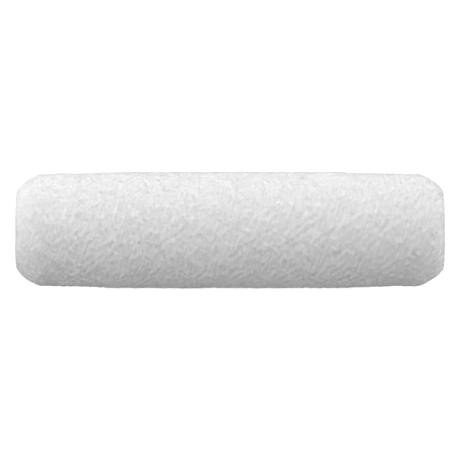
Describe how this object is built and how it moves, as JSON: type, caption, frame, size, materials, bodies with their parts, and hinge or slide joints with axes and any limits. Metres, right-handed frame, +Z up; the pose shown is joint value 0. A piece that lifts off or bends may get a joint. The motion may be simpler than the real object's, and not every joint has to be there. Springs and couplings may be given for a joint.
{
  "type": "paint roller cover",
  "caption": "Fluffy knit pile sleeve with rounded ends on a spiral-wound paper core, open right through for a roller frame's cage.",
  "frame": {"origin": "on the axis of the bore, half way along the core", "axes": "+X along the bore towards the cover's outer end, +Z up with the cover lying on its side, and +Y across"},
  "size_m": [0.2286, 0.0624, 0.0624],
  "materials": {
    "kraft_ply": "resin-soaked kraft paper, faintly satin",
    "resin_bond": "cured dark resin, low gloss",
    "glue": "cured fabric glue, waxy",
    "knit_backing": "fine knitted polyester ground cloth",
    "nap_fibre": "soft white polyester pile, matt with a slight sheen"
  },
  "bodies": {
    "root": {"core_ply_inner": "kraft_ply", "core_bond_inner": "resin_bond", "core_ply_middle": "kraft_ply", "core_bond_outer": "resin_bond", "core_ply_outer": "kraft_ply", "fabric_glue": "glue", "fabric_backing": "knit_backing", "nap_pile": "nap_fibre"}
  },
  "joints": []
}
